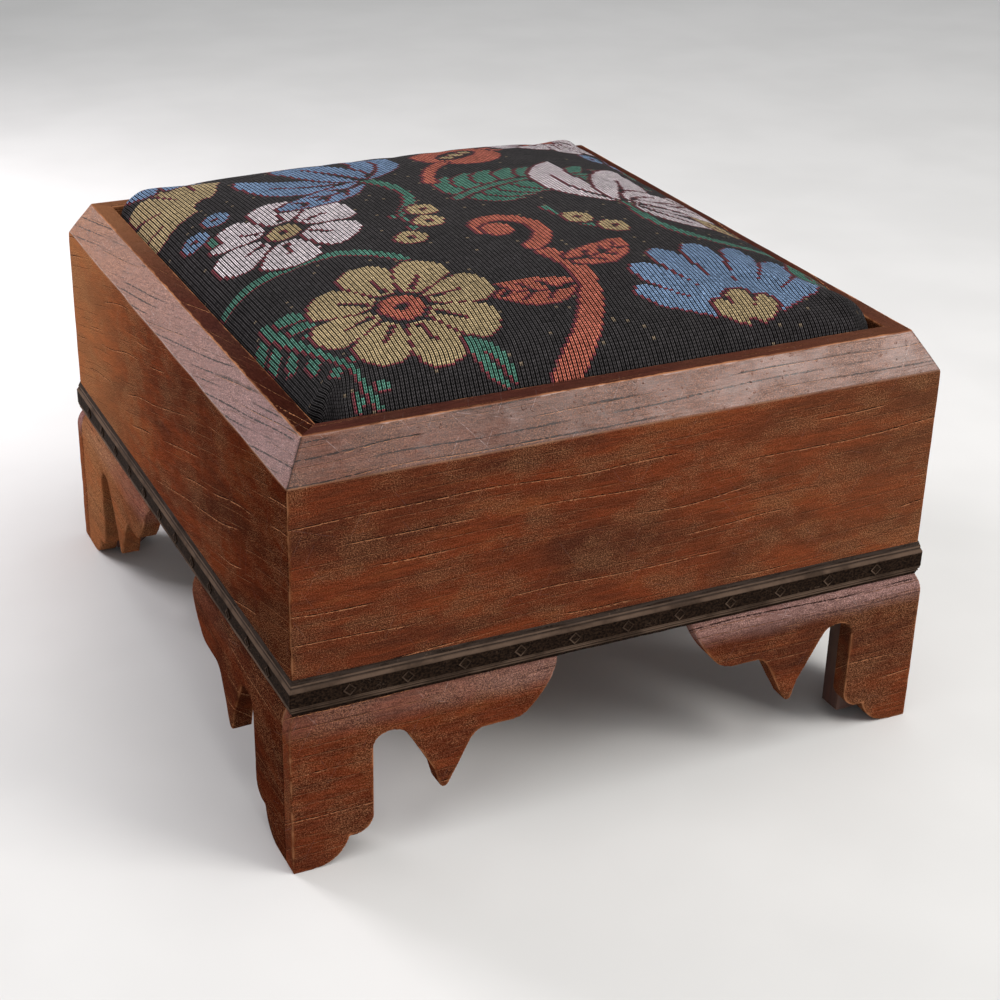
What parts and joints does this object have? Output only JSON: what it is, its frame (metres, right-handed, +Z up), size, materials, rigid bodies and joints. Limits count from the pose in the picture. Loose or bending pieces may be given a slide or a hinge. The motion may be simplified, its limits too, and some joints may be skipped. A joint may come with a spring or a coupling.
{
  "type": "footstool",
  "caption": "Low wooden box footstool on scrolled bracket feet with a dark base moulding and an upholstered seat that lifts out.",
  "frame": {"origin": "on the floor under the middle of the stool", "axes": "+Z up, front towards -Y, the longer sides of the box along Y"},
  "size_m": [0.3666, 0.3966, 0.265],
  "materials": {
    "mahogany": "worn French polish, satin",
    "dark_moulding": "dark stained, satin",
    "pine": "aged bare softwood, matt",
    "seat_rail": "bare beech, matt",
    "webbing": "jute webbing, matt",
    "hessian": "open jute cloth, matt",
    "stuffing": "curled fibre, matt",
    "cover_cloth": "ribbed figured cloth, matt"
  },
  "bodies": {
    "carcase": {"board_front": "mahogany", "board_back": "mahogany", "board_left": "mahogany", "board_right": "mahogany", "moulding_front": "dark_moulding", "moulding_back": "dark_moulding", "moulding_left": "dark_moulding", "moulding_right": "dark_moulding", "front_bracket_left": "mahogany", "front_bracket_right": "mahogany", "back_bracket_left": "mahogany", "back_bracket_right": "mahogany", "left_bracket_front": "mahogany", "left_bracket_back": "mahogany", "right_bracket_front": "mahogany", "right_bracket_back": "mahogany", "foot_block_front_left": "pine", "foot_block_front_right": "pine", "foot_block_back_left": "pine", "foot_block_back_right": "pine", "corner_block_front_left": "pine", "corner_block_front_right": "pine", "corner_block_back_left": "pine", "corner_block_back_right": "pine", "ledge_front": "pine", "ledge_back": "pine", "ledge_left": "pine", "ledge_right": "pine"},
    "seat": {"seat_rail_front": "seat_rail", "seat_rail_back": "seat_rail", "seat_rail_left": "seat_rail", "seat_rail_right": "seat_rail", "web_across_front": "webbing", "web_across_middle": "webbing", "web_across_back": "webbing", "web_along_left": "webbing", "web_along_middle": "webbing", "web_along_right": "webbing", "hessian": "hessian", "stuffing": "stuffing", "seat_cover": "cover_cloth"}
  },
  "joints": [
    {"name": "seat_lift", "type": "slide", "parent": "carcase", "child": "seat", "axis": [0, 0, 1], "range_m": [0, 0.08]}
  ]
}
